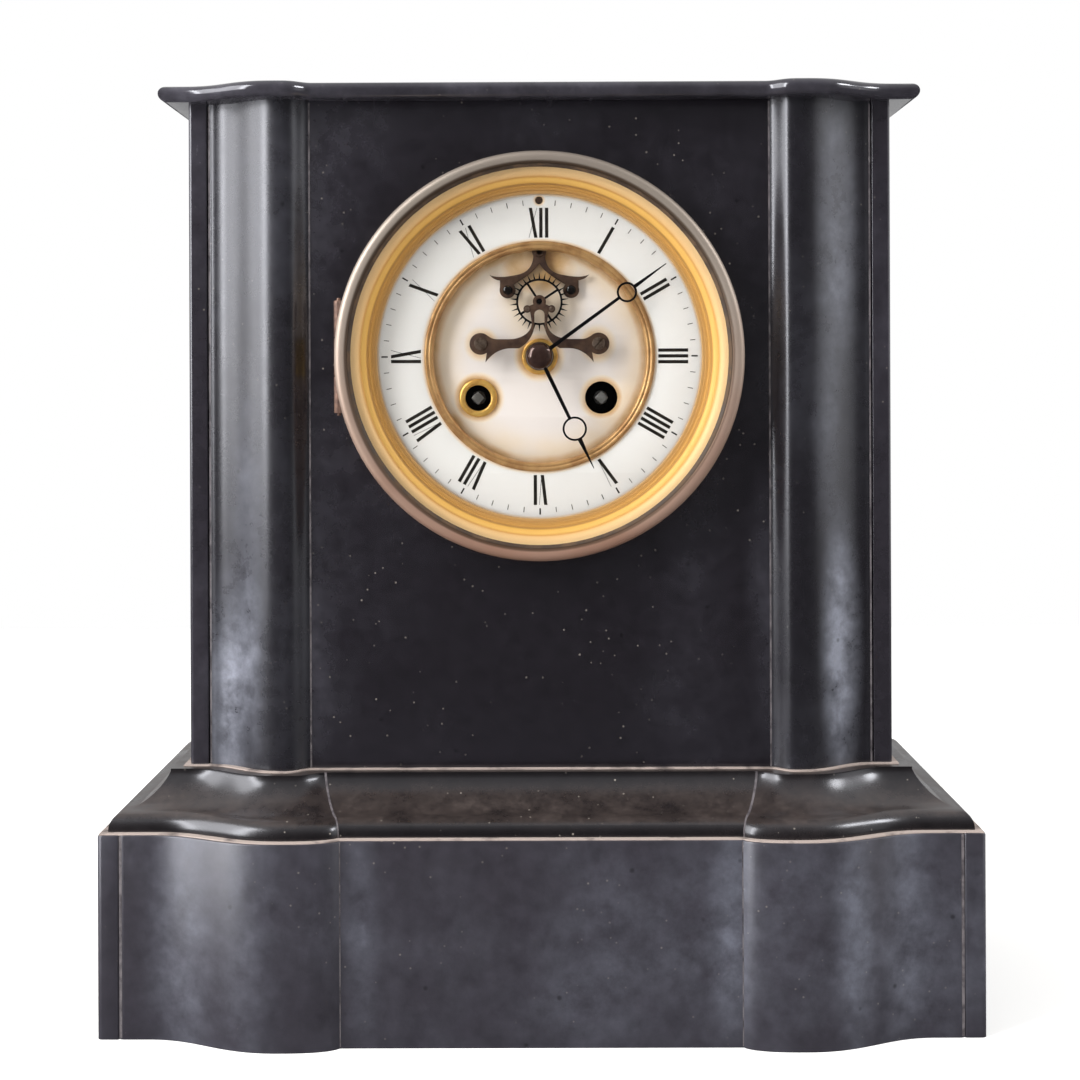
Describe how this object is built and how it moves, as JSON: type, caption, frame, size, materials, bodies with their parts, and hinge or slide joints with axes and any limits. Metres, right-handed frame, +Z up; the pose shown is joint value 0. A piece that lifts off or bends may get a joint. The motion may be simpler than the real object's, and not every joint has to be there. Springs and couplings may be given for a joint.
{
  "type": "mantel clock",
  "caption": "Black slate mantel clock with a serpentine plinth, corner columns, a hinged glazed door, an enamel dial with visible escapement, and a striking pendulum movement.",
  "frame": {"origin": "middle of the plinth's underside", "axes": "+Z up, -Y out of the dial, +X to the right of a person who faces the dial"},
  "size_m": [0.34, 0.163, 0.3685],
  "materials": {
    "slate": "polished black slate with a dull bloom",
    "brass": "satin",
    "worn_brass": "worn to grey",
    "gilt": "gilt, polished",
    "enamel": "white enamel, gloss",
    "blued_steel": "blued nearly black",
    "brown_steel": "browned",
    "steel": "satin",
    "jewel": "polished",
    "bell_metal": "polished",
    "glass": "clear"
  },
  "bodies": {
    "case": {"base_plinth": "slate", "base_moulding": "slate", "front_panel": "slate", "left_pilaster": "slate", "right_pilaster": "slate", "left_side_slab": "slate", "right_side_slab": "slate", "back_panel": "slate", "top_slab": "slate", "bezel_seat": "brass", "door_hinge_pin": "brass", "dial_pan": "brass", "chapter_ring": "enamel", "dial_inner_ring": "gilt", "dial_centre_disc": "enamel", "centre_collet": "gilt", "strike_winding_collet": "gilt", "front_plate": "brass", "back_plate": "brass", "movement_strap_left": "brass", "movement_strap_right": "brass", "escape_cock": "brown_steel", "back_cock": "brass", "suspension_block": "brass", "bell": "bell_metal", "bell_stand": "steel", "rear_ring": "brass"},
    "front_door": {"door_bezel": "worn_brass", "sight_ring": "gilt", "door_glass": "glass"},
    "rear_door": {"rear_cover": "brass"},
    "centre_arbor": {"centre_wheel": "brass", "cannon_pinion": "steel", "minute_hand": "blued_steel", "hand_nut": "brown_steel"},
    "hour_pipe": {"hour_wheel": "brass", "hour_hand": "blued_steel"},
    "motion_wheel": {"minute_wheel": "brass"},
    "intermediate_arbor": {"intermediate_wheel": "brass"},
    "going_great_wheel": {"going_barrel": "brass"},
    "third_arbor": {"third_wheel": "brass"},
    "escape_arbor": {"escape_wheel": "brass"},
    "pallets": {"pallet_anchor": "brown_steel", "entry_pallet": "jewel", "exit_pallet": "jewel", "crutch": "steel"},
    "pendulum": {"suspension_spring": "steel", "pendulum_rod": "brass", "pendulum_bob": "brass"},
    "rating": {"rating_nut": "brass"},
    "going_winder": {"going_winding_arbor": "steel"},
    "strike_winder": {"strike_winding_arbor": "steel"},
    "strike_great_wheel": {"strike_barrel": "brass"},
    "pin_arbor": {"strike_pin_wheel": "brass"},
    "warning_arbor": {"strike_warning_wheel": "brass"},
    "fly_arbor": {"strike_fly": "brass"},
    "hammer_arbor": {"hammer": "steel"},
    "regulator": {"regulator_arbor": "steel"}
  },
  "joints": [
    {"name": "front_door_hinge", "type": "hinge", "parent": "case", "child": "front_door", "pos_m": [-0.0785, -0.05, 0.261], "axis": [0, 0, -1], "range_deg": [0, 105]},
    {"name": "rear_cover_hinge", "type": "hinge", "parent": "case", "child": "rear_door", "pos_m": [0.0686, 0.0769, 0.261], "axis": [0, 0, -1], "range_deg": [0, 110]},
    {"name": "minute_turn", "type": "hinge", "parent": "case", "child": "centre_arbor", "pos_m": [0, 0, 0.261], "axis": [0, 1, 0], "continuous": true},
    {"name": "hour_turn", "type": "hinge", "parent": "case", "child": "hour_pipe", "pos_m": [0, 0, 0.261], "axis": [0, 1, 0], "continuous": true},
    {"name": "motion_wheel_turn", "type": "hinge", "parent": "case", "child": "motion_wheel", "pos_m": [0, 0, 0.249], "axis": [0, 1, 0], "continuous": true},
    {"name": "intermediate_turn", "type": "hinge", "parent": "case", "child": "intermediate_arbor", "pos_m": [0.01578, 0, 0.26824], "axis": [0, 1, 0], "continuous": true},
    {"name": "going_barrel_turn", "type": "hinge", "parent": "case", "child": "going_great_wheel", "pos_m": [0.0245, 0, 0.2446], "axis": [0, 1, 0], "continuous": true},
    {"name": "third_turn", "type": "hinge", "parent": "case", "child": "third_arbor", "pos_m": [-0.01002, 0, 0.27391], "axis": [0, 1, 0], "continuous": true},
    {"name": "escape_turn", "type": "hinge", "parent": "case", "child": "escape_arbor", "pos_m": [0, 0, 0.2826], "axis": [0, 1, 0], "continuous": true},
    {"name": "pendulum_swing", "type": "hinge", "parent": "case", "child": "pendulum", "pos_m": [0, 0.028, 0.3025], "axis": [0, 1, 0], "range_deg": [-2, 2]},
    {"name": "pallet_rock", "type": "hinge", "parent": "case", "child": "pallets", "pos_m": [0, 0, 0.3025], "axis": [0, 1, 0], "range_deg": [-2, 2]},
    {"name": "rating_nut_turn", "type": "hinge", "parent": "pendulum", "child": "rating", "pos_m": [0, 0.028, 0.1332], "axis": [0, 0, 1], "continuous": true},
    {"name": "going_winding_turn", "type": "hinge", "parent": "case", "child": "going_winder", "pos_m": [0.0245, 0, 0.2446], "axis": [0, 1, 0], "continuous": true},
    {"name": "strike_winding_turn", "type": "hinge", "parent": "case", "child": "strike_winder", "pos_m": [-0.0245, 0, 0.2446], "axis": [0, 1, 0], "continuous": true},
    {"name": "pin_wheel_turn", "type": "hinge", "parent": "case", "child": "pin_arbor", "pos_m": [-0.03594, 0, 0.26705], "axis": [0, 1, 0], "continuous": true},
    {"name": "strike_barrel_turn", "type": "hinge", "parent": "case", "child": "strike_great_wheel", "pos_m": [-0.0245, 0, 0.2446], "axis": [0, 1, 0], "continuous": true},
    {"name": "warning_turn", "type": "hinge", "parent": "case", "child": "warning_arbor", "pos_m": [-0.03092, 0, 0.28012], "axis": [0, 1, 0], "continuous": true},
    {"name": "fly_turn", "type": "hinge", "parent": "case", "child": "fly_arbor", "pos_m": [-0.02796, 0, 0.28925], "axis": [0, 1, 0], "continuous": true},
    {"name": "hammer_lift", "type": "hinge", "parent": "case", "child": "hammer_arbor", "pos_m": [-0.042, 0, 0.285], "axis": [0, 1, 0], "range_deg": [0, 15]},
    {"name": "regulator_turn", "type": "hinge", "parent": "case", "child": "regulator", "pos_m": [0, 0, 0.3227], "axis": [0, 1, 0], "continuous": true}
  ],
  "couplings": [
    {"joint": "hour_turn", "follows": "minute_turn", "ratio": 0.083333},
    {"joint": "motion_wheel_turn", "follows": "minute_turn", "ratio": -0.33333},
    {"joint": "intermediate_turn", "follows": "minute_turn", "ratio": -0.16667},
    {"joint": "going_barrel_turn", "follows": "minute_turn", "ratio": 0.027778},
    {"joint": "third_turn", "follows": "minute_turn", "ratio": -13.333},
    {"joint": "escape_turn", "follows": "minute_turn", "ratio": 160},
    {"joint": "pallet_rock", "follows": "pendulum_swing", "ratio": 1},
    {"joint": "strike_barrel_turn", "follows": "pin_wheel_turn", "ratio": -0.16667},
    {"joint": "warning_turn", "follows": "pin_wheel_turn", "ratio": -6},
    {"joint": "fly_turn", "follows": "pin_wheel_turn", "ratio": 42}
  ]
}
